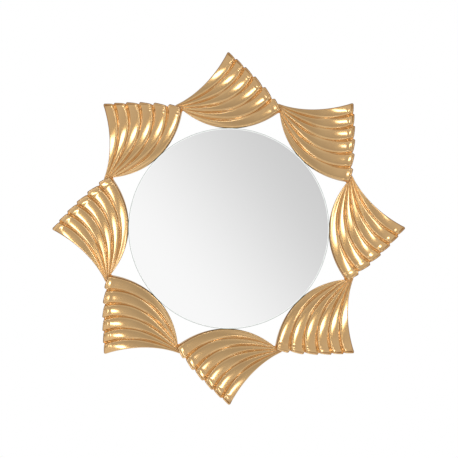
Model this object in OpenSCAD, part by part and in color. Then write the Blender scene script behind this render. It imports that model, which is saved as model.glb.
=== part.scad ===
// Round wall mirror with a sunburst frame of eight fluted fan shells.
// The wall is the plane Y = 0, the mirror faces -Y, +Z is up, and the origin is
// the middle of the mirror on the wall. All sizes are in millimetres.

/* [Mirror glass] */
// Diameter of the silvered glass
glass_d = 558.8; // [500:0.2:640]
// Thickness of the glass
glass_t = 4; // [3:0.5:6]
// Width of the narrow bevel round the front edge
bevel_w = 4; // [1:0.5:10]
// Depth that the bevel takes off the edge
bevel_drop = 1.2; // [0.4:0.1:2]

/* [Backing panel] */
// Thickness of the fibreboard panel behind the glass
panel_t = 9; // [6:1:15]
// How far the panel's rim stays inside the glass edge
panel_inset = 12; // [8:1:30]
// Diameter of the foam pads that bond the glass to the panel
pad_d = 42; // [20:1:60]
// Thickness of the foam pads
pad_t = 1; // [0.8:0.1:2]
// Distance of the outer pads' middles inside the glass edge
pad_edge = 54; // [36:1:90]

/* [Fans] */
// Reach of a fan's tip beyond the glass edge
fan_reach = 212; // [190:1:230]
// Thickness of the pressed sheet, measured along the depth
sheet_t = 2.2; // [1.6:0.1:3]
// Rise of the wide end above the narrow end, at the outer side
rise_outer = 4; // [3.5:0.5:12]
// Rise of the wide end above the narrow end, at the inner side
rise_inner = 12; // [11:0.5:22]
// Flutes pressed into one fan
flutes = 6; // [4:1:8]
// Height of a flute at the wide end as a share of its width
flute_lift = 0.25; // [0.2:0.01:0.45]
// The same share at the narrow end, as a share of the one above
narrow_lift = 0.2; // [0.1:0.01:1]
// Place of the crest across a flute, from its outer groove
crest_at = 0.86; // [0.7:0.01:0.92]
// Depth of the fan's inner foot behind the back of the glass
foot_gap = 1.3; // [0.5:0.1:2]
// Length of the flat tongue that tucks under the next fan
tongue_l = 16; // [10:1:20]

/* [Scalloped lip] */
// Height of the rolled bead along the wide edge
bead_h = 1.4; // [1:0.1:4]
// Depth of the hollow that runs behind the bead
hollow_h = 1; // [0.4:0.1:3]
// Depth that the edge turns back outside the bead
turn_back = 7; // [4:0.5:9]
// Width of the worked strip along the wide edge
lip_w = 20; // [16:1:30]
// How far the largest scallop stands out past its grooves
scallop_out = 8.2; // [3:0.1:10]

/* [Carrier frame] */
// Distance of the carrier bars' centre lines beyond the glass edge
bar_out = 82; // [78:0.5:88]
// Width of the flat carrier bars
bar_w = 12; // [10:1:14]
// Thickness of the flat carrier bars
bar_t = 3; // [2:0.5:5]
// Width of the flat spokes
spoke_w = 20; // [16:1:30]
// Thickness of the flat spokes
spoke_t = 3; // [2:0.5:4]
// Length of each spoke on the panel
spoke_hold = 50; // [40:1:60]

/* [Fixings] */
// Diameter of the posts brazed under the fans
post_d = 9; // [8:0.5:12]
// Diameter of a screw shank
shank_d = 4; // [3:0.5:4]
// Diameter of a screw head
head_d = 8; // [7:0.5:9]
// Height of a screw head
head_h = 2.2; // [1.5:0.1:2.6]
// Clearance round a screw shank in its hole
hole_play = 0.1; // [0.05:0.05:0.3]

/* [Wall bumpers] */
// Thickness of the bumpers, which sets the gap to the wall
bumper_t = 8; // [7:0.5:12]
// Diameter of the bumpers
bumper_d = 12; // [10:1:14]

/* [Hangers] */
// Distance of each hanger from the middle line
hanger_x = 115; // [60:1:120]
// Height of the ring's pivot above the middle
hanger_z = 125; // [80:1:130]
// Width of the hanger strap
strap_w = 14; // [12:1:18]
// Thickness of the hanger strap
strap_t = 1.2; // [1:0.1:1.5]
// Wire diameter of the ring
wire_d = 3; // [2.5:0.1:3.5]
// Length of the ring's straight sides
ring_side = 7; // [6:0.5:12]
// Running clearance of the wire in the strap's eye
eye_play = 0.15; // [0.1:0.05:0.3]
// Clearance between the strap and the ring's sides
ring_play = 1; // [0.5:0.1:2]

/* [Hidden] */
$fn = 96;
fan_count = 8;
pitch = 360 / fan_count;
glass_r = glass_d / 2;
panel_r = glass_r - panel_inset;
pad_circle_r = glass_r - pad_edge;
bar_reach = glass_r + bar_out;
// Extra length that takes a cut past a face
past = 1;
// Clear space round a screw head, at a screw's tip, and in front of a tip
head_gap = 2;
tip_gap = 0.5;
tip_cover = 2;

// Depths in front of the wall
frame_z = bumper_t;
fan_z = frame_z + bar_t;
glass_z = frame_z + panel_t + pad_t;

// Guide lines of a fan from its narrow end to its wide end. Each point is a
// share of the pitch to the right of the fan's middle line, and a share of the
// reach outside the glass edge.
outer_edge = [[-0.515, 0.45], [-0.305, 0.48], [-0.11, 0.695], [-0.01, 0.995]];
upper_groove = [[-0.5, 0.415], [-0.33, 0.385], [0.03, 0.4], [0.12, 0.805]];
lower_groove = [[-0.485, 0.38], [-0.27, 0.235], [0.15, 0.13], [0.3, 0.585]];
inner_edge = [[-0.47, 0.34], [-0.17, -0.092], [0.335, 0.01], [0.53, 0.36]];

// Share of a line at which the grooves reach their full height
rise_end = 0.95;
// Powers that round a flute's broad back and its steep wall
back_round = 1.2;
wall_round = 2;
// Place across a flute where its scallop stands out most, the first scallop's
// share of the largest, and the power by which a scallop falls off
scallop_at = 0.18;
first_scallop = 0.4;
scallop_fall = 0.7;
// Shares of the lip's width, from the edge, that bound the bead and the hollow
bead_from = 0.06;
bead_to = 0.18;
hollow_from = 0.35;
hollow_to = 0.6;
// Share of the bead's height, and of the hollow's depth, at their outer bounds
bead_start = 0.4;
hollow_start = 0.6;
// Share of the narrow end's width that the tongue keeps
tongue_share = 0.7;

// Stations along a fan: shares of the plain part, then shares of the lip
plain_stations = [0, 0.12, 0.25, 0.38, 0.51, 0.64, 0.77, 0.89, 1];
lip_stations = [hollow_to, hollow_from, bead_to, bead_from, 0];
// Stations across one flute
back_station = 0.6;
flute_stations = [0, scallop_at, back_station * crest_at, crest_at, (1 + crest_at) / 2];

// Grooves of a fan that stand on posts
post_grooves = [3, 5];
post_bore_floor = 2;
braze_gap = 0.3;

strap_eye_r = wire_d / 2 + eye_play;
strap_eye_z = strap_eye_r + strap_t;
ring_half_w = strap_w / 2 + ring_play + wire_d / 2;
ring_corner_r = wire_d;
strap_screw_1 = strap_eye_z + head_gap + head_d / 2;
strap_screw_2 = ring_corner_r + ring_side + ring_half_w + wire_d / 2 + head_gap + head_d / 2;
strap_screw_l = 8;

// The parts are drawn on the wall: x right, y up and z out towards the room
module on_wall() { rotate([90, 0, 0]) children(); }
// Fan 1 points up, and the rest follow it clockwise
module at_pitch(k) { rotate([0, 0, -pitch * (k - 1)]) children(); }

// Lines of a fan
function polar(p) = (glass_r + p.y * fan_reach) * [sin(p.x * pitch), cos(p.x * pitch)];
// Weights of the four guide lines for a place v across the fan, from 0 to 1
function guide_weights(v) = [
    (1 - 3 * v) * (2 - 3 * v) * (1 - v) / 2,
    9 * v * (2 - 3 * v) * (1 - v) / 2,
    9 * v * (3 * v - 1) * (1 - v) / 2,
    v * (3 * v - 1) * (3 * v - 2) / 2];
function blended(v, i) = guide_weights(v) *
    [polar(outer_edge[i]), polar(upper_groove[i]), polar(lower_groove[i]), polar(inner_edge[i])];
function bezier(p, u) = pow(1 - u, 3) * p[0] + 3 * u * pow(1 - u, 2) * p[1]
    + 3 * u * u * (1 - u) * p[2] + u * u * u * p[3];
function line_at(v) = [for (i = [0:3]) blended(v, i)];
function end_speed(v) = 3 * norm(blended(v, 3) - blended(v, 2));
function end_way(v) = let (d = blended(v, 3) - blended(v, 2)) d / norm(d);
function plan(u, v) = bezier(line_at(v), u);
function fan_width(u) = norm(plan(u, 1) - plan(u, 0));

// Place across one flute, from 0 at its outer groove to 1 at the next
function flute_place(v) = v >= 1 ? 1 : v * flutes - floor(v * flutes);
// Smooth step from 0 at the place a to 1 at the place b
function step(a, b, x) = let (s = min(1, max(0, (x - a) / (b - a)))) s * s * (3 - 2 * s);
// Broad round back up to the crest, and then a steep wall down to the groove
function flute_rise(t) = t < crest_at ? 1 - pow(1 - t / crest_at, back_round)
    : 1 - pow((t - crest_at) / (1 - crest_at), wall_round);
// The outline stands out just past each groove and falls back to the next
function scallop(v) = let (t = flute_place(v))
    scallop_out * (first_scallop + (1 - first_scallop) * v)
    * (t < scallop_at ? sin(90 * t / scallop_at) : pow((1 - t) / (1 - scallop_at), scallop_fall));
// Profile of the lip over the share s of its width, measured from the edge
function lip_rise(s) =
    s < bead_from ? bead_start * bead_h - (turn_back + bead_start * bead_h) * (1 - s / bead_from)
    : s < bead_to ? bead_h * (bead_start + (1 - bead_start) * step(bead_from, bead_to, s))
    : s < hollow_from ? bead_h - (bead_h + hollow_start * hollow_h) * step(bead_to, hollow_from, s)
    : s < hollow_to ? -hollow_h * (hollow_start + (1 - hollow_start) * step(hollow_from, hollow_to, s))
    : -hollow_h * (1 - step(hollow_to, 1, s));

// Heights above the carrier bars
foot_mid = glass_z - fan_z - sheet_t - foot_gap;
function groove_h(u, v) = (rise_outer + (rise_inner - rise_outer) * v) * step(0, rise_end, u);
function foot_h(u) = min(2 * foot_mid * max(u, 0), groove_h(u, 1) + foot_mid);
function flute_h(u) = let (w = max(u, 0))
    flute_lift * (narrow_lift + (1 - narrow_lift) * w) * fan_width(w) / flutes;
function top_h(u, v, s) = groove_h(u, v) + lip_rise(s)
    + flute_h(u) * flute_rise(flute_place(v));
// The last flute's wall runs on down to the foot beside the glass edge
function shell_h(u, v, s) = v * flutes < flutes - 1 + crest_at ? top_h(u, v, s)
    : let (f = flute_rise(flute_place(v)))
      foot_h(u) + (groove_h(u, v) + lip_rise(s) + flute_h(u) - foot_h(u)) * f;

// Each station is [share of the line, distance back from its end, share of the lip]
stations = concat(
    [for (s = plain_stations) [s, s * lip_w, 1]],
    [for (s = lip_stations) [1, s * lip_w, s]]);
places = [for (f = [0:flutes - 1]) for (t = flute_stations) (f + t) / flutes, 1];
function shell_point(st, v) =
    let (u = st[0] - st[1] / end_speed(v))
    let (p = plan(u, v) + end_way(v) * scallop(v) * step(0, 1, 1 - st[2]))
    [p.x, p.y, fan_z + shell_h(u, v, st[2])];
// The tongue runs on square to the narrow end, and is drawn in at its sides
narrow_way = let (d = plan(0, 1) - plan(0, 0)) [d.y, -d.x] / norm(d);
function tongue_point(v) =
    let (p = plan(0, 0.5 + (v - 0.5) * tongue_share) + narrow_way * tongue_l)
    [p.x, p.y, fan_z];

module fan_shell() {
    rows = concat([[for (v = places) tongue_point(v)]],
        [for (st = stations) [for (v = places) shell_point(st, v)]]);
    nu = len(rows);
    nv = len(places);
    back = [for (row = rows) for (p = row) p];
    front = [for (p = back) p + [0, 0, sheet_t]];
    n = nu * nv;
    quads = [for (i = [0:nu - 2]) for (j = [0:nv - 2])
        [i * nv + j, (i + 1) * nv + j, (i + 1) * nv + j + 1, i * nv + j + 1]];
    rim = concat(
        [for (j = [0:nv - 2]) j],
        [for (i = [0:nu - 2]) i * nv + nv - 1],
        [for (j = [nv - 1:-1:1]) (nu - 1) * nv + j],
        [for (i = [nu - 1:-1:1]) i * nv]);
    rim_next = [for (k = [0:len(rim) - 1]) rim[(k + 1) % len(rim)]];
    faces = concat(
        [for (q = quads) [q[0], q[1], q[2]]],
        [for (q = quads) [q[0], q[2], q[3]]],
        [for (q = quads) [q[0] + n, q[2] + n, q[1] + n]],
        [for (q = quads) [q[0] + n, q[3] + n, q[2] + n]],
        [for (k = [0:len(rim) - 1]) [rim[k], rim_next[k], rim_next[k] + n]],
        [for (k = [0:len(rim) - 1]) [rim[k], rim_next[k] + n, rim[k] + n]]);
    polyhedron(points = concat(front, back), faces = faces, convexity = 12);
}

module fan(k) { color("goldenrod") on_wall() at_pitch(k) fan_shell(); }

// Glass disc with a narrow bevel round its front edge
module mirror_glass() {
    color("gainsboro") on_wall() translate([0, 0, glass_z]) rotate_extrude($fn = 180)
        polygon([[0, 0], [glass_r, 0], [glass_r, glass_t - bevel_drop],
            [glass_r - bevel_w, glass_t], [0, glass_t]]);
}

module foam_pads() {
    color("dimgray") on_wall() translate([0, 0, glass_z - pad_t]) {
        for (k = [1:fan_count]) at_pitch(k + 0.5) translate([0, pad_circle_r, 0])
            cylinder(d = pad_d, h = pad_t);
        for (k = [1:2:fan_count]) at_pitch(k) translate([0, pad_circle_r / 2, 0])
            cylinder(d = pad_d, h = pad_t);
    }
}

// Screw whose head lies towards the wall and whose shank points to the room
module screw(length) {
    translate([0, 0, -head_h]) cylinder(d = head_d, h = head_h);
    cylinder(d = shank_d, h = length);
}
module screw_hole(depth) {
    translate([0, 0, -past]) cylinder(d = shank_d + 2 * hole_play, h = depth + past);
}

// Carrier frame: spokes on the panel's back, and bars on the spokes' outer ends
spoke_from = panel_r - spoke_hold;
bar_corner_r = bar_reach / cos(pitch / 2);
spoke_to = bar_corner_r + bar_w / 2;
spoke_screw_rs = [for (share = [0.25, 0.75]) spoke_from + share * spoke_hold];
spoke_screw_l = spoke_t + panel_t - tip_cover;

module spoke(k) {
    color("dimgray") on_wall() at_pitch(k) difference() {
        translate([-spoke_w / 2, spoke_from, frame_z - spoke_t])
            cube([spoke_w, spoke_to - spoke_from, spoke_t]);
        for (r = spoke_screw_rs) translate([0, r, frame_z - spoke_t]) screw_hole(spoke_t + past);
    }
}

module spoke_screws() {
    color("silver") on_wall() for (k = [1:fan_count]) at_pitch(k) for (r = spoke_screw_rs)
        translate([0, r, frame_z - spoke_t]) screw(spoke_screw_l);
}

// Post places: where a groove of the fan crosses the middle of the bar on its right
function bar_side(p) = p * [sin(pitch / 2), cos(pitch / 2)];
function cross_u(v, lo, hi, n) = let (mid = (lo + hi) / 2)
    n == 0 ? mid : bar_side(plan(mid, v)) > bar_reach ? cross_u(v, lo, mid, n - 1)
    : cross_u(v, mid, hi, n - 1);
halvings = 20;
function post_u(g) = cross_u(g / flutes, 0.5, 1, halvings);
// A post stops a braze's thickness under the lowest sheet above it
function under_h(u, v) = groove_h(u, v) + lip_rise(min(1, (1 - u) * end_speed(v) / lip_w));
function post_h(g) = let (v = g / flutes) min([for (side = [-1:0.5:1])
    under_h(post_u(g) + side * post_d / 2 / end_speed(v), v)]) - braze_gap;

module at_posts() {
    for (g = post_grooves) let (p = plan(post_u(g), g / flutes))
        translate([p.x, p.y, 0]) rotate([0, 0, -pitch / 2]) {
            $post_h = post_h(g);
            children();
        }
}
post_screw_in = 5;

module bar(k) {
    inner = (bar_reach - bar_w / 2) * tan(pitch / 2);
    outer = (bar_reach + bar_w / 2) * tan(pitch / 2);
    color("dimgray") on_wall() at_pitch(k) difference() {
        translate([0, 0, frame_z]) rotate([0, 0, -pitch / 2]) linear_extrude(bar_t)
            polygon([[-inner, bar_reach - bar_w / 2], [inner, bar_reach - bar_w / 2],
                [outer, bar_reach + bar_w / 2], [-outer, bar_reach + bar_w / 2]]);
        translate([0, 0, frame_z]) at_posts() screw_hole(bar_t + past);
    }
}

module fan_posts() {
    color("dimgray") on_wall() for (k = [1:fan_count]) at_pitch(k) translate([0, 0, fan_z])
        at_posts() difference() {
            cylinder(d = post_d, h = $post_h);
            screw_hole($post_h - post_bore_floor);
        }
}

module post_screws() {
    color("silver") on_wall() for (k = [1:fan_count]) at_pitch(k) translate([0, 0, frame_z])
        at_posts() screw(bar_t + min(post_screw_in, $post_h - post_bore_floor - tip_gap));
}

// Bumpers on the backs of every second bar
module wall_bumpers() {
    color("black") on_wall() for (k = [1:2:fan_count]) at_pitch(k + 0.5)
        translate([0, bar_reach, 0]) cylinder(d = bumper_d, h = bumper_t);
}

// Places of the strap's screws below the ring's pivot
module at_strap_screws() {
    for (d = [strap_screw_1, strap_screw_2]) translate([0, -d, 0]) children();
}
module at_hanger(side) { translate([side * hanger_x, hanger_z, frame_z]) children(); }
// Drawn with z towards the wall, so that a hanger lies on the panel's back
module on_back() { mirror([0, 0, 1]) children(); }

module backing_panel() {
    color("saddlebrown") on_wall() difference() {
        translate([0, 0, frame_z]) cylinder(r = panel_r, h = panel_t, $fn = 180);
        for (k = [1:fan_count]) at_pitch(k) for (r = spoke_screw_rs)
            translate([0, r, frame_z]) screw_hole(spoke_screw_l - spoke_t + tip_gap);
        for (side = [-1, 1]) at_hanger(side) at_strap_screws()
            screw_hole(strap_screw_l - strap_t + tip_gap);
    }
}

module hanger_strap(side) {
    color("silver") on_wall() at_hanger(side) on_back() difference() {
        union() {
            translate([-strap_w / 2, -strap_screw_2, 0]) cube([strap_w, strap_screw_2, strap_t]);
            translate([0, -strap_screw_2, 0]) cylinder(d = strap_w, h = strap_t);
            translate([-strap_w / 2, 0, strap_eye_z]) rotate([0, 90, 0])
                cylinder(r = strap_eye_z, h = strap_w);
        }
        translate([-strap_w / 2 - past, 0, strap_eye_z]) rotate([0, 90, 0])
            cylinder(r = strap_eye_r, h = strap_w + 2 * past);
        at_strap_screws() screw_hole(strap_t + past);
    }
}

module hanger_screws() {
    color("silver") on_wall() for (side = [-1, 1]) at_hanger(side) at_strap_screws()
        translate([0, 0, -strap_t]) screw(strap_screw_l);
}

// D-shaped ring, hanging down from its bar in the strap's eye
module wire_bend(r, angle) { rotate_extrude(angle = angle) translate([r, 0]) circle(d = wire_d, $fn = 32); }
module hanger_ring(side) {
    side_to = -ring_corner_r - ring_side;
    color("silver") on_wall() at_hanger(side) on_back() translate([0, 0, strap_eye_z]) {
        translate([-ring_half_w + ring_corner_r, 0, 0]) rotate([0, 90, 0])
            cylinder(d = wire_d, h = 2 * (ring_half_w - ring_corner_r), $fn = 32);
        for (s = [0, 1]) mirror([s, 0, 0]) {
            translate([ring_half_w - ring_corner_r, -ring_corner_r, 0])
                wire_bend(ring_corner_r, 90);
            translate([ring_half_w, side_to, 0]) rotate([-90, 0, 0])
                cylinder(d = wire_d, h = ring_side, $fn = 32);
        }
        translate([0, side_to, 0]) rotate([0, 0, 180]) wire_bend(ring_half_w, 180);
    }
}

mirror_glass();
foam_pads();
backing_panel();
fan(1);  // fan_1
fan(2);  // fan_2
fan(3);  // fan_3
fan(4);  // fan_4
fan(5);  // fan_5
fan(6);  // fan_6
fan(7);  // fan_7
fan(8);  // fan_8
bar(1);  // bar_1
bar(2);  // bar_2
bar(3);  // bar_3
bar(4);  // bar_4
bar(5);  // bar_5
bar(6);  // bar_6
bar(7);  // bar_7
bar(8);  // bar_8
spoke(1);  // spoke_1
spoke(2);  // spoke_2
spoke(3);  // spoke_3
spoke(4);  // spoke_4
spoke(5);  // spoke_5
spoke(6);  // spoke_6
spoke(7);  // spoke_7
spoke(8);  // spoke_8
fan_posts();
post_screws();
spoke_screws();
wall_bumpers();
hanger_strap(-1);  // hanger_strap_left
hanger_strap(1);  // hanger_strap_right
hanger_ring(-1);  // hanger_ring_left
hanger_ring(1);  // hanger_ring_right
hanger_screws();
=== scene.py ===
import math
import random

import bmesh
import bpy
from mathutils import Matrix, Vector


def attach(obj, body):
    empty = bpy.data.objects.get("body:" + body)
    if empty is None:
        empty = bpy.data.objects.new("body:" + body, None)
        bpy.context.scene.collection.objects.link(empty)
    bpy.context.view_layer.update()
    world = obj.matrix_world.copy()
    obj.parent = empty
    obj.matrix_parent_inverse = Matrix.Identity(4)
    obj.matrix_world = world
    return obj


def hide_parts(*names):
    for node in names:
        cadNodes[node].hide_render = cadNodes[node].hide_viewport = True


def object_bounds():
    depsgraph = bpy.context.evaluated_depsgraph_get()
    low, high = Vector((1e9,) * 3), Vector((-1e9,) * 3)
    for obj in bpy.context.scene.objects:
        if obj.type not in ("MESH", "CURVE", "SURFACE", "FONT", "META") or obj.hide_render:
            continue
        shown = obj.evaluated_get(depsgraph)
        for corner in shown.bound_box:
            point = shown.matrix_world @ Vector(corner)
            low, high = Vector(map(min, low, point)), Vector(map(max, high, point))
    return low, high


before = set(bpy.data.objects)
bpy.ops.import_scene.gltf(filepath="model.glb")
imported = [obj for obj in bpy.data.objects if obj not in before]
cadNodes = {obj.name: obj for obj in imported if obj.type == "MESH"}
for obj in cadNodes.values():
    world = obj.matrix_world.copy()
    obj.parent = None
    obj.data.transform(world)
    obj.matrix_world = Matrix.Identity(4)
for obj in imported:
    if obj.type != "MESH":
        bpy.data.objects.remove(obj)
cadLow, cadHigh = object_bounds()
print("frame loaded:", len(cadNodes), "nodes")

mm = 0.001         # the scene is in metres, and the pieces' sizes below are in millimetres
touching = 1e-6    # corners that are closer than this are one corner


def hexColour(text):
    # sRGB hex to linear
    parts = [int(text[i:i + 2], 16) / 255 for i in (0, 2, 4)]
    return [c / 12.92 if c <= 0.04045 else ((c + 0.055) / 1.055) ** 2.4 for c in parts] + [1]


def addNode(tree, kind, values=None, links=None, **settings):
    # one shader node, with its own settings, its socket values and its links
    node = tree.nodes.new("ShaderNode" + kind)
    for name, value in settings.items():
        setattr(node, name, value)
    for socket, value in (values or {}).items():
        node.inputs[socket].default_value = value
    for socket, source in (links or {}).items():
        tree.links.new(source, node.inputs[socket])
    return node


def newMaterial(name, metallic=0.0):
    material = bpy.data.materials.new(name)
    material.use_nodes = True
    tree = material.node_tree
    shader = tree.nodes["Principled BSDF"]
    shader.inputs["Metallic"].default_value = metallic
    return material, tree, shader


def rampStops(ramp, stops):
    # stops are (place, hex colour)
    while len(ramp.elements) < len(stops):
        ramp.elements.new(0.5)
    for element, (place, colour) in zip(ramp.elements, stops):
        element.position = place
        element.color = hexColour(colour)


def smoothStep(a, b, x):
    s = min(1, max(0, (x - a) / (b - a)))
    return s * s * (3 - 2 * s)


def newObject(name, data):
    thing = bpy.data.objects.new(name, data)
    bpy.context.scene.collection.objects.link(thing)
    return thing


def toMesh(bm, name):
    mesh = bpy.data.meshes.new(name)
    bm.to_mesh(mesh)
    bm.free()
    return mesh


def finishPiece(bm, name, body, materials, nodes, sharpAngle=35):
    # a piece with its materials, its body and the CAD nodes that it stands for
    mesh = toMesh(bm, name)
    for material in materials:
        mesh.materials.append(material)
    mesh.shade_smooth()
    mesh.set_sharp_from_angle(angle=math.radians(sharpAngle))
    piece = newObject(name, mesh)
    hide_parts(*nodes)
    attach(piece, body)


def addCopy(joined, bm, place):
    # a small part goes to its place, in the mesh of a piece that holds many of them
    mesh = toMesh(bm, "part")
    mesh.transform(place)
    joined.from_mesh(mesh)
    bpy.data.meshes.remove(mesh)


def turned(bm, profile, steps):
    # a lathe shape round Y: profile points are (radius, depth along Y) in millimetres
    points = [bm.verts.new((r * mm, y * mm, 0)) for r, y in profile]
    edges = [bm.edges.new(pair) for pair in zip(points, points[1:])]
    bmesh.ops.spin(bm, geom=points + edges, cent=(0, 0, 0), axis=(0, 1, 0),
                   angle=2 * math.pi, steps=steps, use_merge=True)
    bmesh.ops.remove_doubles(bm, verts=bm.verts, dist=touching)
    bmesh.ops.recalc_face_normals(bm, faces=bm.faces)


def arc(middle, across, high, start, end, steps):
    # points round the middle of an ellipse, from one angle to the other in degrees
    angles = [math.radians(start + (end - start) * i / steps) for i in range(steps + 1)]
    return [(middle[0] + across * math.cos(a), middle[1] + high * math.sin(a)) for a in angles]


def cadCopy(nodeName):
    # a CAD node's loose triangles, merged into closed solids
    bm = bmesh.new()
    bm.from_mesh(cadNodes[nodeName].data)
    bmesh.ops.remove_doubles(bm, verts=bm.verts, dist=touching)
    return bm


def looseParts(nodeName):
    # the lowest and highest corners of each separate solid in a CAD node
    bm = cadCopy(nodeName)
    left, parts = set(bm.verts), []
    while left:
        group, reached = [], [left.pop()]
        while reached:
            vert = reached.pop()
            group.append(vert)
            for link in vert.link_edges:
                other = link.other_vert(vert)
                if other in left:
                    left.remove(other)
                    reached.append(other)
        corners = [[v.co[i] for v in group] for i in range(3)]
        parts.append((Vector([min(c) for c in corners]), Vector([max(c) for c in corners])))
    bm.free()
    # from left to right and upwards, so that each run gives a screw the same random turn
    return sorted(parts, key=lambda p: (round(p[0].x, 4), round(p[0].z, 4)))


# the camera's and the studio's sizes are in metres
view = {
    "distance": 4.0,            # from the wall to the lens
    "frameWidth": 1.2733,       # what the picture spans at the glass, at 2.78 mm a pixel
    "glassFront": -0.022,       # the glass's front along Y
    "pixels": 458,
    "middle": (228.75, 228.5),  # the pixel where the mirror's middle is
    "clipEnd": 50,
}
camera = newObject("camera", bpy.data.cameras.new("camera"))
camera.location = (0, -view["distance"], 0)
camera.rotation_euler = (math.pi / 2, 0, 0)
camera.data.lens = (camera.data.sensor_width * (view["distance"] + view["glassFront"])
                    / view["frameWidth"])
camera.data.shift_x = (view["pixels"] / 2 - view["middle"][0]) / view["pixels"]
camera.data.shift_y = (view["middle"][1] - view["pixels"] / 2) / view["pixels"]
camera.data.clip_end = view["clipEnd"]
bpy.context.scene.camera = camera
print("camera set")


studio = {
    "plainShade": "ffffff",    # the room that the lens and the matt surfaces see
    "floorDrop": 0.62,         # below the mirror's lowest tip
    "floorRadius": 1.0, "floorSteps": 128,
    "floorShade": "e9e8e6", "floorRoughness": 0.8,
    "distance": 4.6,           # from the mirror's middle to each softbox
    "softEdge": 0.3,           # share of a softbox over which its light fades out
    # name: (degrees anticlockwise from the right; degrees off the lens; width along the
    # ring; height across it; degrees of roll; radiance)
    "softboxes": {
        "rightInner": (22, 18, 0.34, 1.4, -4, 5.2),
        "upperRight": (33, 37, 1.5, 0.52, -8, 5.6),
        "top": (99, 41, 1.35, 0.42, -43, 5.2),
        "upperLeft": (136, 33, 0.7, 0.5, -47, 5.6),
        "left": (171, 26, 0.55, 0.7, -11, 5.2),
        "leftInner": (202, 19, 0.38, 1.15, 7, 5.2),
        "lowerLeft": (221, 40, 2.0, 0.48, -32, 5.6),
        "bottom": (274, 39, 0.8, 0.48, -42, 5.2),
        "lowerRight": (326, 41, 2.2, 0.38, -60, 5.2),
        "right": (354, 26, 0.55, 0.7, 20, 5.6),
    },
    # what the metal mirrors between them: (cosine of the angle off the lens, shade)
    "tent": [(0.00, "7a5a40"), (0.20, "94785e"), (0.35, "b8b0a8"), (0.62, "dadada"),
             (0.80, "d2d2d2"), (0.88, "cacaca"), (0.93, "c0c0c0"), (0.96, "bababa"),
             (0.975, "bebebe"), (0.985, "c6c6c6")],
    # what the glass mirrors, close round the lens: the cosines where it begins and is full,
    # and its shades, from grey to white along a slope towards the lower left
    "frontFrom": 0.982, "frontFull": 0.990, "frontShades": ("d2d2d2", "ffffff"),
    "frontSlope": (-0.72, 0.0, -0.55), "slopeGrey": -0.075, "slopeWhite": 0.055,
    # what lights the mirror's back: the cosines where it begins and is full, and its shade
    "rearFrom": -0.4, "rearFull": -0.7, "rearShade": "d2d2d2",
}

for name, (turn, tilt, width, height, roll, radiance) in studio["softboxes"].items():
    turn, tilt = math.radians(turn), math.radians(tilt)
    # each softbox faces the mirror's middle, with its height along the ring's radius
    out = Vector((math.sin(tilt) * math.cos(turn), -math.cos(tilt),
                  math.sin(tilt) * math.sin(turn)))
    radial = Vector((math.cos(tilt) * math.cos(turn), math.sin(tilt),
                     math.cos(tilt) * math.sin(turn)))
    lamp = bpy.data.lights.new("softbox_" + name, "AREA")
    lamp.shape = "RECTANGLE"
    lamp.size, lamp.size_y = width, height
    lamp.energy = radiance * math.pi * width * height    # in watts
    lamp.use_nodes = True
    tree = lamp.node_tree
    # brightest in the middle, fading towards the four edges
    place = addNode(tree, "NewGeometry").outputs["Parametric"]
    offset = addNode(tree, "VectorMath", {1: (0.5, 0.5, 0)}, {0: place}, operation="SUBTRACT")
    beside = addNode(tree, "VectorMath", links={0: offset.outputs[0]}, operation="ABSOLUTE")
    across = addNode(tree, "SeparateXYZ", links={0: beside.outputs[0]})
    fades = [addNode(tree, "MapRange", {"From Min": 0.5, "From Max": 0.5 - studio["softEdge"]},
                     {"Value": across.outputs[i]}, interpolation_type="SMOOTHSTEP")
             for i in (0, 1)]
    glow = addNode(tree, "Math", links={i: fades[i].outputs[0] for i in (0, 1)},
                   operation="MULTIPLY")
    tree.links.new(glow.outputs[0], tree.nodes["Emission"].inputs["Strength"])
    holder = newObject("softbox_" + name, lamp)
    axes = Matrix((radial.cross(out), radial, out)).transposed()
    axes = axes @ Matrix.Rotation(math.radians(roll), 3, "Z")
    holder.matrix_world = Matrix.Translation(studio["distance"] * out) @ axes.to_4x4()
    holder.visible_camera = False

world = bpy.data.worlds.new("studio")
bpy.context.scene.world = world
world.use_nodes = True
tree = world.node_tree
tree.nodes.clear()
direction = addNode(tree, "TexCoord").outputs["Generated"]
ahead = addNode(tree, "VectorMath", {1: (0, -1, 0)}, {0: direction}, operation="DOT_PRODUCT")
offLens = {"Value": ahead.outputs["Value"]}    # the cosine of the angle off the lens
slope = addNode(tree, "VectorMath", {1: studio["frontSlope"]}, {0: direction},
                operation="DOT_PRODUCT")
whiter = addNode(tree, "MapRange",
                 {"From Min": studio["slopeGrey"], "From Max": studio["slopeWhite"]},
                 {"Value": slope.outputs["Value"]}, interpolation_type="SMOOTHSTEP")
front = addNode(tree, "MixRGB",
                {i + 1: hexColour(shade) for i, shade in enumerate(studio["frontShades"])},
                {0: whiter.outputs[0]})
tent = addNode(tree, "ValToRGB", links={"Fac": ahead.outputs["Value"]})
rampStops(tent.color_ramp, studio["tent"])
frontShare = addNode(tree, "MapRange",
                     {"From Min": studio["frontFrom"], "From Max": studio["frontFull"]},
                     offLens, interpolation_type="SMOOTHSTEP")
rearShare = addNode(tree, "MapRange",
                    {"From Min": studio["rearFrom"], "From Max": studio["rearFull"]},
                    offLens, interpolation_type="SMOOTHSTEP")
sides = addNode(tree, "MixRGB", {2: hexColour(studio["rearShade"])},
                {0: rearShare.outputs[0], 1: tent.outputs["Color"]})
room = addNode(tree, "MixRGB", links={0: frontShare.outputs[0], 1: sides.outputs[0],
                                      2: front.outputs[0]})
path = addNode(tree, "LightPath").outputs
plain = addNode(tree, "Math", links={0: path["Is Camera Ray"], 1: path["Is Diffuse Ray"]},
                operation="MAXIMUM")
seen = addNode(tree, "MixRGB", {2: hexColour(studio["plainShade"])},
               {0: plain.outputs[0], 1: room.outputs[0]})
background = addNode(tree, "Background", {"Strength": 1.0}, {"Color": seen.outputs[0]})
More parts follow.
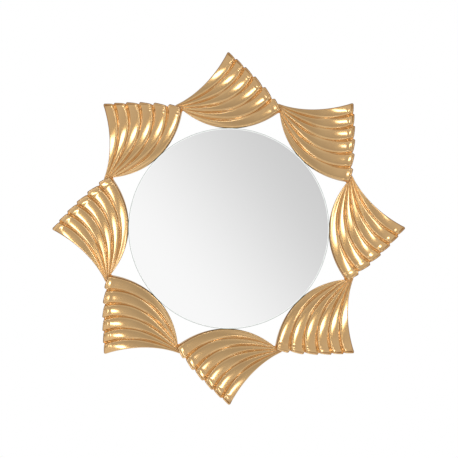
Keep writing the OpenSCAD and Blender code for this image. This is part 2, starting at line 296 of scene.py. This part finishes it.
addNode(tree, "OutputWorld", links={"Surface": background.outputs[0]})

bm = bmesh.new()
bmesh.ops.create_circle(bm, cap_ends=True, segments=studio["floorSteps"],
                        radius=studio["floorRadius"],
                        matrix=Matrix.Translation((0, 0, cadLow.z - studio["floorDrop"])))
floor = newObject("floor", toMesh(bm, "floor"))
floorPaint, _, shader = newMaterial("floor_paint")    # matt pale studio floor
shader.inputs["Base Color"].default_value = hexColour(studio["floorShade"])
shader.inputs["Roughness"].default_value = studio["floorRoughness"]
floor.data.materials.append(floorPaint)
bpy.context.scene.view_settings.view_transform = "Standard"
print("studio set")


pattern = {
    "tonePlaces": (0.3, 0.7),    # the darker and the lighter colour's place in a noise
    "grainDetail": 4, "grainRoughness": 0.55,
    "cloudSize": 25, "cloudDetail": 2,    # clouds of tone are as many grains wide
}


def dress(tree, shader, cloud, grain, colours, roughness, bump, strength=1.0):
    # colour from one noise, and roughness and bump from another
    tones = addNode(tree, "ValToRGB", links={"Fac": cloud.outputs["Fac"]})
    rampStops(tones.color_ramp, list(zip(pattern["tonePlaces"], colours)))
    tree.links.new(tones.outputs["Color"], shader.inputs["Base Color"])
    rough = addNode(tree, "MapRange", {"To Min": roughness[0], "To Max": roughness[1]},
                    {"Value": grain.outputs["Fac"]})
    tree.links.new(rough.outputs[0], shader.inputs["Roughness"])
    relief = addNode(tree, "Bump", {"Distance": bump * mm, "Strength": strength},
                     {"Height": grain.outputs["Fac"]})
    tree.links.new(relief.outputs[0], shader.inputs["Normal"])


def mottled(name, colours, grainSize, roughness, bump, metallic=0.0):
    # a material from its grain's real size in millimetres
    material, tree, shader = newMaterial(name, metallic)
    points = {"Vector": addNode(tree, "TexCoord").outputs["Object"]}
    grain = addNode(tree, "TexNoise", {"Scale": 1 / (grainSize * mm),
                                       "Detail": pattern["grainDetail"],
                                       "Roughness": pattern["grainRoughness"]}, points)
    cloud = addNode(tree, "TexNoise", {"Scale": 1 / (grainSize * pattern["cloudSize"] * mm),
                                       "Detail": pattern["cloudDetail"]}, points)
    dress(tree, shader, cloud, grain, colours, roughness, bump)
    return material


# brass sheet, pressed, polished and gold plated: warm sharp highlights, orange where it
# mirrors itself in the grooves, and fine drawn lines along the flutes
gold = {
    "tones": ("dfaa57", "e7b463"), "cloudSize": 45.5, "cloudDetail": 3,
    # the flutes' map counts a fan's length and its wide end's width as 1; the drawn lines
    # are coarser than real ones, so that they show
    "fanLength": 245, "fanWidth": 221.4, "lineLength": 98, "lineWidth": 6.15,
    "lineDetail": 3, "lineDepth": 0.03, "lineStrength": 0.6,
    "roughness": (0.11, 0.15),
    # a clear lacquer against tarnish, with the IOR raised to match the pale highlights
    "lacquerIor": 2.3, "lacquerRoughness": 0.08,
}
goldPlate, tree, shader = newMaterial("gold_plated_brass_pressed", metallic=1.0)
along = addNode(tree, "UVMap", uv_map="flutes").outputs["UV"]
stretch = addNode(tree, "Mapping", {"Scale": (gold["fanLength"] / gold["lineLength"],
                                              gold["fanWidth"] / gold["lineWidth"], 1)},
                  {"Vector": along})
drawn = addNode(tree, "TexNoise", {"Scale": 1.0, "Detail": gold["lineDetail"]},
                {"Vector": stretch.outputs[0]})
tint = addNode(tree, "TexNoise", {"Scale": 1 / (gold["cloudSize"] * mm),
                                  "Detail": gold["cloudDetail"]},
               {"Vector": addNode(tree, "TexCoord").outputs["Object"]})
dress(tree, shader, tint, drawn, gold["tones"], gold["roughness"], gold["lineDepth"],
      gold["lineStrength"])
shader.inputs["Coat Weight"].default_value = 1.0
shader.inputs["Coat IOR"].default_value = gold["lacquerIor"]
shader.inputs["Coat Roughness"].default_value = gold["lacquerRoughness"]

# float glass with a silver coat behind it: a clear cool mirror, with a faint haze of dust
silver = {"shade": "f8f8f8", "hazeSize": 71.4, "hazeDetail": 5, "roughness": (0.0, 0.02)}
silvered, tree, shader = newMaterial("silvered_float_glass", metallic=1.0)
shader.inputs["Base Color"].default_value = hexColour(silver["shade"])
haze = addNode(tree, "TexNoise", {"Scale": 1 / (silver["hazeSize"] * mm),
                                  "Detail": silver["hazeDetail"]},
               {"Vector": addNode(tree, "TexCoord").outputs["Object"]})
rough = addNode(tree, "MapRange", {"To Min": silver["roughness"][0],
                                   "To Max": silver["roughness"][1]},
                {"Value": haze.outputs["Fac"]})
tree.links.new(rough.outputs[0], shader.inputs["Roughness"])

# the edge of the same glass, cut and ground: grey green and satin, as such an edge is, and dark
# enough to be painted shade for the ring of shadow round the glass
glassEdgeWithPaintedShade = mottled("float_glass_edge_ground_painted_shade", ("83908b", "98a39f"),
                    grainSize=0.8, roughness=(0.35, 0.5), bump=0.01)

# the narrow bevel round its front, painted near white and satin: a painted reflection of the
# bright room, in place of the polished glass's own mirroring
bevelPaintedReflection = mottled("float_glass_bevel_painted_reflection", ("e9eeec", "f4f6f5"),
                     grainSize=0.6, roughness=(0.2, 0.3), bump=0.01)

# medium density fibreboard, lacquered black: fine short fibres show through
fibreboard = mottled("fibreboard_black_lacquered", ("3b3834", "47433e"),
                     grainSize=0.9, roughness=(0.4, 0.6), bump=0.03)

# mild steel bar, powder coated satin black: a fine orange peel
powderCoat = mottled("steel_powder_coated_black", ("1d1c1b", "262523"),
                     grainSize=0.7, roughness=(0.42, 0.55), bump=0.03)

# zinc plated steel, passivated bright: grey with a faint yellow and blue cast
zincPlate = mottled("steel_zinc_plated", ("b5b3aa", "c3c6c9"),
                    grainSize=0.4, roughness=(0.25, 0.38), bump=0.004, metallic=1.0)

# rolled steel strip, folded and nickel plated: warm grey, with a soft sheen
nickelStrip = mottled("steel_strip_nickel_plated", ("b9b4aa", "c6c1b7"),
                      grainSize=0.5, roughness=(0.24, 0.36), bump=0.004, metallic=1.0)

# drawn steel wire, nickel plated: brighter than the strip
nickelWire = mottled("steel_wire_nickel_plated", ("bdb6ab", "ccc6bb"),
                     grainSize=0.3, roughness=(0.12, 0.22), bump=0.003, metallic=1.0)

# double-sided foam tape: dull white with a fine cell pattern
foam = mottled("foam_tape_closed_cell", ("d6d6d0", "e0e0da"),
               grainSize=0.5, roughness=(0.85, 0.95), bump=0.05)

# natural rubber, moulded: near black, matt and slightly dusty
rubber = mottled("rubber_moulded", ("1b1b1b", "2a2a29"),
                 grainSize=0.6, roughness=(0.6, 0.8), bump=0.02)

# the CAD nodes that are shown as they are
for nodeName, material in {
    "foam_pads": foam, "fan_posts": powderCoat,
    "hanger_strap_left": nickelStrip, "hanger_strap_right": nickelStrip,
    "hanger_ring_left": nickelWire, "hanger_ring_right": nickelWire,
}.items():
    for slot in cadNodes[nodeName].material_slots:
        slot.material = material
print("materials made")


# the fans stand round the glass, so its sizes come first
glass = {
    "radius": 279.4, "thick": 4,
    "back": -18,              # its place along Y, in front of the wall
    "bevelWidth": 3.4, "bevelDrop": 1.0, "arris": 1.1, "backArris": 0.3,
    "steps": 256, "sharpAngle": 5,
}


fans = {
    "count": 8,
    "reach": 212,             # from the glass's edge to the tips
    "sheet": 2.2,             # thickness along Y
    "backPlane": 11,          # depth of the fans' flat backs in front of the wall
    "footGap": 1.3,           # depth from the foot of the last flute to the glass's back
    # the grooves climb to the wide end, least at the outer edge and most at the inner one
    "riseOuter": 4, "riseInner": 12, "climbPower": 0.9,
    # a flute's height is a share of its width, which grows from the narrow end
    "flutes": 6, "lift": 0.25, "narrowLift": 0.07, "liftGrowth": 2.2,
    # a flute's section: the crest's place, and the powers of its back and of its wall
    "crestAt": 0.84, "backRound": 1.4, "wallRound": 1.8,
    "fillet": 0.6,            # rounds the bottom of the grooves
    # pressed lines in the grooves: their width as a share of the flute's, but no wider than
    # the next value, and their slope, which is steeper towards the narrow end
    "creaseShare": 0.15, "creaseWide": 3.0, "creaseSlope": 0.3, "creaseNarrow": 1.15,
    "creaseFrom": 0.35, "creaseTo": 0.7,
    "rolled": 2.6,            # radius of the rolled free edges
    # each flute ends in a scallop: how far out, where across the flute, the share left of it
    # on the flute by the outer edge, and the power of its fall
    "scallopOut": 8.2, "scallopAt": 0.18, "firstScallop": 0.4, "scallopFall": 0.7,
    # along the lip, as shares of its width: a bead, then a hollow; the free edge turns back
    "lipWidth": 20, "turnBack": 7,
    "bead": 1.4, "beadStart": 0.4, "beadFrom": 0.04, "beadTo": 0.13,
    "hollow": 0.8, "hollowStart": 0.6, "hollowFrom": 0.38, "hollowTo": 0.6,
    # the flat tongue at the narrow end, its end's share of the fan's width, and its map
    "tongue": 16, "tongueShare": 0.7, "tongueMap": 0.05,
    # lines from the narrow end to the wide end: (share of the pitch, share of the reach)
    "outerEdge": [(-0.515, 0.45), (-0.305, 0.48), (-0.11, 0.695), (-0.01, 0.995)],
    "upperGroove": [(-0.5, 0.415), (-0.33, 0.385), (0.03, 0.4), (0.12, 0.805)],
    "lowerGroove": [(-0.485, 0.38), (-0.27, 0.235), (0.15, 0.13), (0.3, 0.585)],
    "innerEdge": [(-0.47, 0.34), (-0.17, -0.112), (0.335, 0.01), (0.53, 0.36)],
    # cells of the mesh, crowded towards the grooves and towards the lip's edge
    "backCells": 16, "backCrowding": 1.6, "wallCells": 8, "wallCrowding": 1.5,
    "plainCells": 64, "lipCells": 22, "lipCrowding": 1.5, "tongueCells": 3,
    "sharpAngle": 62,
}
pitch = 2 * math.pi / fans["count"]


def polar(point):
    radius = glass["radius"] + point[1] * fans["reach"]
    return Vector((radius * math.sin(point[0] * pitch), radius * math.cos(point[0] * pitch)))


guides = [[polar(p) for p in fans[line]]
          for line in ("outerEdge", "upperGroove", "lowerGroove", "innerEdge")]


def lineAt(v):
    # four control points at place v across the fan, on cubics through the guides' points
    # at 0, 1/3, 2/3 and 1
    weights = ((1 - 3 * v) * (2 - 3 * v) * (1 - v) / 2, 9 * v * (2 - 3 * v) * (1 - v) / 2,
               9 * v * (3 * v - 1) * (1 - v) / 2, v * (3 * v - 1) * (3 * v - 2) / 2)
    return [sum((w * guide[i] for w, guide in zip(weights, guides)), Vector((0, 0)))
            for i in range(4)]


def pointAlong(line, u):
    return ((1 - u) ** 3 * line[0] + 3 * u * (1 - u) ** 2 * line[1]
            + 3 * u * u * (1 - u) * line[2] + u ** 3 * line[3])


def fanWidth(u):
    # straight across, between the outer edge and the inner edge
    return (pointAlong(lineAt(1), u) - pointAlong(lineAt(0), u)).length


def fluteRise(t, fillet):
    # the flute's back meets the wall before it in the groove at 0, and its own wall ends in
    # the groove at 1; the fillet is a share of the flute's height
    crest, back, wall = fans["crestAt"], fans["backRound"], fans["wallRound"]
    if t < crest:
        own = 1 - (1 - t / crest) ** back
        other = -wall / (1 - crest) * t
    else:
        own = 1 - ((t - crest) / (1 - crest)) ** wall
        other = (t - 1) * back / crest
    return (own + other + math.sqrt((own - other) ** 2 + fillet ** 2)) / 2


def scallop(v, t):
    # how far the lip reaches out, at v across the fan and t across a flute
    size = fans["scallopOut"] * (fans["firstScallop"] + (1 - fans["firstScallop"]) * v)
    if t < fans["scallopAt"]:
        return size * math.sin(math.pi / 2 * t / fans["scallopAt"])
    return size * max(0, (1 - t) / (1 - fans["scallopAt"])) ** fans["scallopFall"]


def rolledDrop(inward):
    # how much lower the rolled sheet is, so far in from a free edge
    radius = fans["rolled"]
    return radius - math.sqrt(radius ** 2 - max(0, radius - inward) ** 2)


def lipWave(s):
    # the bead along the lip, and the hollow behind it
    bead, hollow = fans["bead"], fans["hollow"]
    if s < fans["beadTo"]:
        return bead * (fans["beadStart"] + (1 - fans["beadStart"]) * smoothStep(
            fans["beadFrom"], fans["beadTo"], s))
    if s < fans["hollowFrom"]:
        return bead - (bead + fans["hollowStart"] * hollow) * smoothStep(
            fans["beadTo"], fans["hollowFrom"], s)
    if s < fans["hollowTo"]:
        return -hollow * (fans["hollowStart"] + (1 - fans["hollowStart"]) * smoothStep(
            fans["hollowFrom"], fans["hollowTo"], s))
    return -hollow * (1 - smoothStep(fans["hollowTo"], 1, s))


def lipRise(s):
    # s goes from the free edge, which is turned back, to the lip's inner side
    if s == 0:
        return -fans["turnBack"]
    return lipWave(s) - rolledDrop(s * fans["lipWidth"])


def crease(u, v, t, fluteWidth):
    # depth of the pressed line in a groove; the fan's own two edges have none
    if not 0.5 <= v * fans["flutes"] <= fans["flutes"] - 0.5:
        return 0
    wide = min(fans["creaseWide"], fans["creaseShare"] * fluteWidth)
    slope = fans["creaseNarrow"] + (fans["creaseSlope"] - fans["creaseNarrow"]) * smoothStep(
        fans["creaseFrom"], fans["creaseTo"], u)
    return slope * wide * math.exp(-(min(t, 1 - t) * fluteWidth / wide) ** 2)


def shellHeight(u, v, t, s, width):
    # from the fans' flat back up to the sheet, at u along the fan, v across it, t across a
    # flute and s in from the lip's edge, where the fan has this width
    climb = max(u, 0) ** fans["climbPower"]
    groove = (fans["riseOuter"] + (fans["riseInner"] - fans["riseOuter"]) * v) * climb
    share = fans["narrowLift"] + (1 - fans["narrowLift"]) * max(u, 0) ** fans["liftGrowth"]
    fluteHeight = fans["lift"] * share * width / fans["flutes"]
    rise = fluteRise(t, fans["fillet"] / max(fluteHeight, fans["fillet"]))
    if v * fans["flutes"] < fans["flutes"] - 1 + fans["crestAt"]:
        return (groove + lipRise(s) + fluteHeight * rise - rolledDrop(v * width)
                - crease(u, v, t, width / fans["flutes"]))
    # the last flute's wall runs on down to the foot beside the glass edge
    footMid = -glass["back"] - fans["backPlane"] - fans["sheet"] - fans["footGap"]
    foot = min(2 * footMid * max(u, 0), fans["riseInner"] * climb + footMid)
    return foot + (groove + lipRise(s) + fluteHeight - foot) * rise


def fanGrid():
    # a flat grid whose points are moved onto the shell, then given the sheet's thickness
    plain, lip, tongue = fans["plainCells"], fans["lipCells"], fans["tongueCells"]
    # each row's share along the fan, out along the tongue and in from the lip's edge
    rows = [(0, 1 - i / tongue, 1) for i in range(tongue)]
    rows += [(i / plain, 0, 1) for i in range(plain)]
    rows += [(1, 0, (1 - i / lip) ** fans["lipCrowding"]) for i in range(lip + 1)]
    # each column's share across the fan and across its flute
    back, wall, crest = fans["backCells"], fans["wallCells"], fans["crestAt"]
    steps = ([crest * (i / back) ** fans["backCrowding"] for i in range(back)]
             + [1 - (1 - crest) * (1 - i / wall) ** fans["wallCrowding"] for i in range(wall)])
    columns = [((flute + t) / fans["flutes"], t) for flute in range(fans["flutes"])
               for t in steps] + [(1, 1)]
    bm = bmesh.new()
    bmesh.ops.create_grid(bm, x_segments=len(rows) - 1, y_segments=len(columns) - 1, size=0.5)
    uvLayer = bm.loops.layers.uv.new("flutes")
    lines = [lineAt(v) for v, t in columns]
    ends = [line[3] - line[2] for line in lines]
    # the tongue goes straight out from the narrow end
    narrow = lines[-1][0] - lines[0][0]
    narrowWay = Vector((narrow.y, -narrow.x)).normalized()
    widths, places = {}, {}
    for vert in bm.verts:
        i = round((vert.co.x + 0.5) * (len(rows) - 1))
        j = round((vert.co.y + 0.5) * (len(columns) - 1))
        share, tongueOut, lipShare = rows[i]
        v, t = columns[j]
        if tongueOut:
            u, height = -tongueOut * fans["tongueMap"], 0
            start = pointAlong(lineAt(0.5 + (v - 0.5) * fans["tongueShare"]), 0)
            flat = pointAlong(lines[j], 0).lerp(start, tongueOut)
            flat += narrowWay * fans["tongue"] * tongueOut
        else:
            # the lip is as wide on every flute, however long the flute is
            inward = lipShare if share == 1 else share
            u = share - inward * fans["lipWidth"] / (3 * ends[j].length)
            flat = pointAlong(lines[j], u)
            flat += ends[j].normalized() * scallop(v, t) * smoothStep(0, 1, 1 - lipShare)
            key = round(u, 4)    # near enough, and far fewer widths to work out
            if key not in widths:
                widths[key] = fanWidth(max(key, 0))
            height = shellHeight(u, v, t, lipShare, widths[key])
        depth = fans["backPlane"] + height + fans["sheet"]
        vert.co = Vector((flat.x, -depth, flat.y)) * mm
        places[vert] = (u, v)
    for face in bm.faces:
        for loop in face.loops:
            loop[uvLayer].uv = places[loop.vert]
    made = bmesh.ops.extrude_face_region(bm, geom=list(bm.faces), use_keep_orig=True)
    backVerts = [g for g in made["geom"] if isinstance(g, bmesh.types.BMVert)]
    bmesh.ops.translate(bm, verts=backVerts, vec=(0, fans["sheet"] * mm, 0))
    bmesh.ops.recalc_face_normals(bm, faces=bm.faces)
    return bm


shellMesh = toMesh(fanGrid(), "shell")
for k in range(fans["count"]):
    bm = bmesh.new()
    bm.from_mesh(shellMesh)
    bmesh.ops.rotate(bm, cent=(0, 0, 0), matrix=Matrix.Rotation(pitch * k, 3, "Y"),
                     verts=bm.verts)
    finishPiece(bm, f"gold_fan_{k + 1}", "mirror", [goldPlate], [f"fan_{k + 1}"],
                fans["sharpAngle"])
bpy.data.meshes.remove(shellMesh)
print("fans made")


rim, front = glass["radius"], glass["back"] - glass["thick"]
bm = bmesh.new()
turned(bm, [(0, front), (rim - glass["bevelWidth"], front),
            (rim - glass["arris"], front + glass["bevelDrop"]),
            (rim, front + glass["bevelDrop"] + glass["arris"]),
            (rim, glass["back"] - glass["backArris"]), (rim - glass["backArris"], glass["back"]),
            (0, glass["back"])], glass["steps"])
glassFinishes = [silvered, bevelPaintedReflection, glassEdgeWithPaintedShade]
# the arris takes the grey edge with its painted shade, the bevel the near-white painted
# reflection, and the rest the silvered glass
for face in bm.faces:
    middle = face.calc_center_median()
    inward = rim - math.hypot(middle.x, middle.z) / mm
    finish = (glassEdgeWithPaintedShade if inward < glass["arris"]
              else bevelPaintedReflection if inward < glass["bevelWidth"] else silvered)
    face.material_index = glassFinishes.index(finish)
finishPiece(bm, "silvered_glass", "mirror", glassFinishes, ["mirror_glass"],
            glass["sharpAngle"])
print("glass made")


rounding = {
    "panel": 0.6, "bar": 0.35, "spoke": 0.35, "segments": 3,
    "shortest": 4.0,          # shorter edges stay sharp
    "angle": 30,              # degrees; where faces meet at less, the edge isn't rounded
    "flat": 1,                # degrees; faces that meet at less become one
}


def softened(nodeName, width):
    # a copy of a CAD solid with its long edges rounded
    bm = cadCopy(nodeName)
    bmesh.ops.dissolve_limit(bm, angle_limit=math.radians(rounding["flat"]), verts=bm.verts,
                             edges=bm.edges)
    edges = [e for e in bm.edges
             if len(e.link_faces) == 2 and e.calc_length() > rounding["shortest"] * mm
             and e.calc_face_angle() > math.radians(rounding["angle"])]
    bmesh.ops.bevel(bm, geom=edges, offset=width * mm, segments=rounding["segments"],
                    affect="EDGES", profile=0.5, material=-1, clamp_overlap=True)
    return bm


finishPiece(softened("backing_panel", rounding["panel"]), "fibreboard_panel", "mirror",
            [fibreboard], ["backing_panel"])
for k in range(1, fans["count"] + 1):
    for steel in ("bar", "spoke"):
        finishPiece(softened(f"{steel}_{k}", rounding[steel]), f"carrier_{steel}_{k}", "mirror",
                    [powderCoat], [f"{steel}_{k}"])
print("panel and carrier made")


screws = {
    "head": 4.0, "headHeight": 2.2, "shank": 2.0, "tip": 0.6,
    "crownHeight": 1.7,       # the rounded part of the pan head
    "recess": 1.5, "recessDepth": 1.3, "rimWidth": 0.3, "rimDepth": 0.05,
    "lobes": 6, "lobeDepth": 0.16,
    "steps": 48, "crownSteps": 5,
    "seed": 7,                # for how far each screw was turned in
}


def panScrew(length):
    # pan head towards +Y, with a six-lobe recess, and its shank towards -Y
    head, high, shank, tip = (screws[size] for size in ("head", "headHeight", "shank", "tip"))
    recess, rim = screws["recess"], screws["recess"] + screws["rimWidth"]
    crown = arc((rim, high - screws["crownHeight"]), head - rim, screws["crownHeight"], 90, 0,
                screws["crownSteps"])
    bm = bmesh.new()
    turned(bm, [(0, high - screws["recessDepth"]), (recess, high - screws["recessDepth"]),
                (recess, high - screws["rimDepth"]), *crown, (head, 0), (shank, 0),
                (shank, -length + tip), (shank - tip, -length), (0, -length)],
           screws["steps"])
    for vert in bm.verts:
        radius = math.hypot(vert.co.x, vert.co.z) / mm
        if math.isclose(radius, recess, rel_tol=0.001):
            turn = screws["lobes"] * math.atan2(vert.co.z, vert.co.x)
            lobe = 1 + screws["lobeDepth"] * math.cos(turn)
            vert.co.x *= lobe
            vert.co.z *= lobe
    return bm


turns = random.Random(screws["seed"])
for nodeName in ("post_screws", "spoke_screws", "hanger_screws"):
    joined = bmesh.new()
    for low, high in looseParts(nodeName):
        seat = high.y - screws["headHeight"] * mm
        place = Matrix.Translation(((low.x + high.x) / 2, seat, (low.z + high.z) / 2))
        turn = Matrix.Rotation(turns.uniform(0, 2 * math.pi / screws["lobes"]), 4, "Y")
        addCopy(joined, panScrew((seat - low.y) / mm), place @ turn)
    finishPiece(joined, nodeName + "_pan_head", "mirror", [zincPlate], [nodeName])
print("screws made")


bumpers = {
    "waist": 0.25, "round": 0.8,
    "foot": 2.2,              # width of the ring that touches the wall, round a hollow
    "hollow": 0.5, "hollowSlope": 0.4,
    "steps": 64, "roundSteps": 4,
}
joined = bmesh.new()
for low, high in looseParts("wall_bumpers"):
    radius, thick = (high.x - low.x) / 2 / mm, (high.y - low.y) / mm
    edge, foot, hollow = bumpers["round"], radius - bumpers["foot"], bumpers["hollow"]
    bm = bmesh.new()
    turned(bm, [(0, -hollow), (foot - bumpers["hollowSlope"], -hollow), (foot, 0),
                *arc((radius - edge, -edge), edge, edge, 90, 0, bumpers["roundSteps"]),
                (radius - bumpers["waist"], -thick / 2), (radius, -thick + edge / 2),
                (radius, -thick), (0, -thick)], bumpers["steps"])
    addCopy(joined, bm, Matrix.Translation(((low.x + high.x) / 2, high.y,
                                            (low.z + high.z) / 2)))
finishPiece(joined, "rubber_bumpers", "mirror", [rubber], ["wall_bumpers"])
print("bumpers made")
